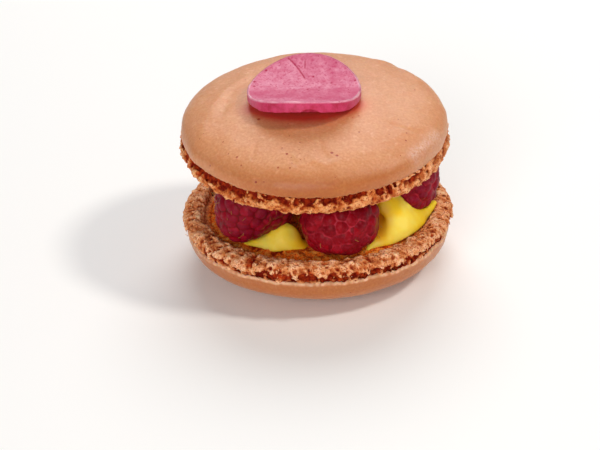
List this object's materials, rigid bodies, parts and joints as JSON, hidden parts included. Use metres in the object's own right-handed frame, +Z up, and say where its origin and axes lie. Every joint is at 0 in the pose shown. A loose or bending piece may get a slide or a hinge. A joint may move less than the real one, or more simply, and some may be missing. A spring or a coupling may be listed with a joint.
{
  "type": "filled macaron with raspberries",
  "caption": "Large filled macaron: two peach almond shells with ruffled feet round a ring of raspberries and piped yellow cream, with a bent pink disc on top.",
  "frame": {"origin": "centre of the footprint on the table, under the flat spot of the lower shell", "axes": "+Z up; -Y is the near side that the upper shell leans towards and where the cream shows; +X to the right of it"},
  "size_m": [0.0768, 0.077, 0.0571],
  "materials": {
    "shell": "matt baked meringue skin, rough open crumb on the foot",
    "cream": "satin piped cream",
    "raspberry": "soft satin, slightly translucent fruit skin",
    "pink_disc": "satin coloured chocolate with fine pits"
  },
  "bodies": {
    "root": {"shell_bottom": "shell", "shell_top": "shell", "cream": "cream", "raspberry_1": "raspberry", "raspberry_2": "raspberry", "raspberry_3": "raspberry", "raspberry_4": "raspberry", "raspberry_5": "raspberry", "pink_disc": "pink_disc"}
  },
  "joints": []
}
